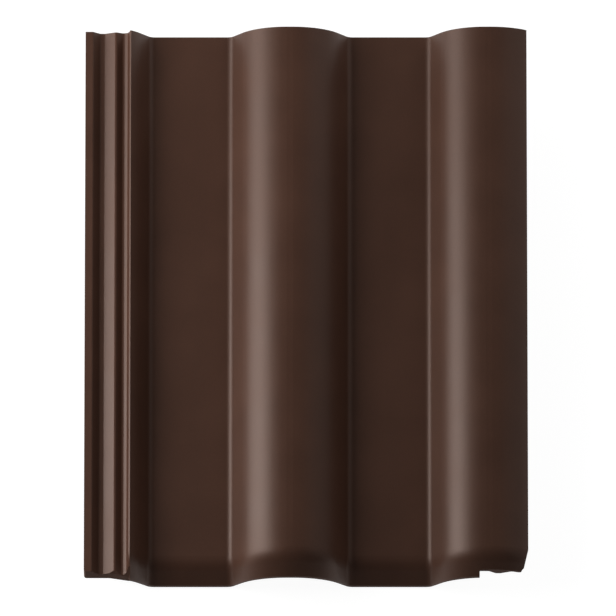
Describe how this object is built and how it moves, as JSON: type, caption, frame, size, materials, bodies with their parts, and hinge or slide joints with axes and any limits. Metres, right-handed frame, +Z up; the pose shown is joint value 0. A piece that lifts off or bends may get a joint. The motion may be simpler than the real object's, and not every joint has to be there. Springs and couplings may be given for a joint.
{
  "type": "interlocking roof tile",
  "caption": "Flat-bottomed roof tile with raised rolls, a turned-down front nose, side water channels on one edge and an overlapping roll on the other.",
  "frame": {"origin": "centre of the tile's outline at the level it rests on: the soles of its nibs and its front lip", "axes": "+X across the roof from the underlock to the overlock, +Y up the slope from the front edge to the head, +Z up out of the weather face"},
  "size_m": [0.33, 0.4208, 0.0586],
  "materials": {
    "concrete": "satin, smooth through-coloured dark brown concrete"
  },
  "bodies": {
    "root": {"roof_tile": "concrete"}
  },
  "joints": []
}
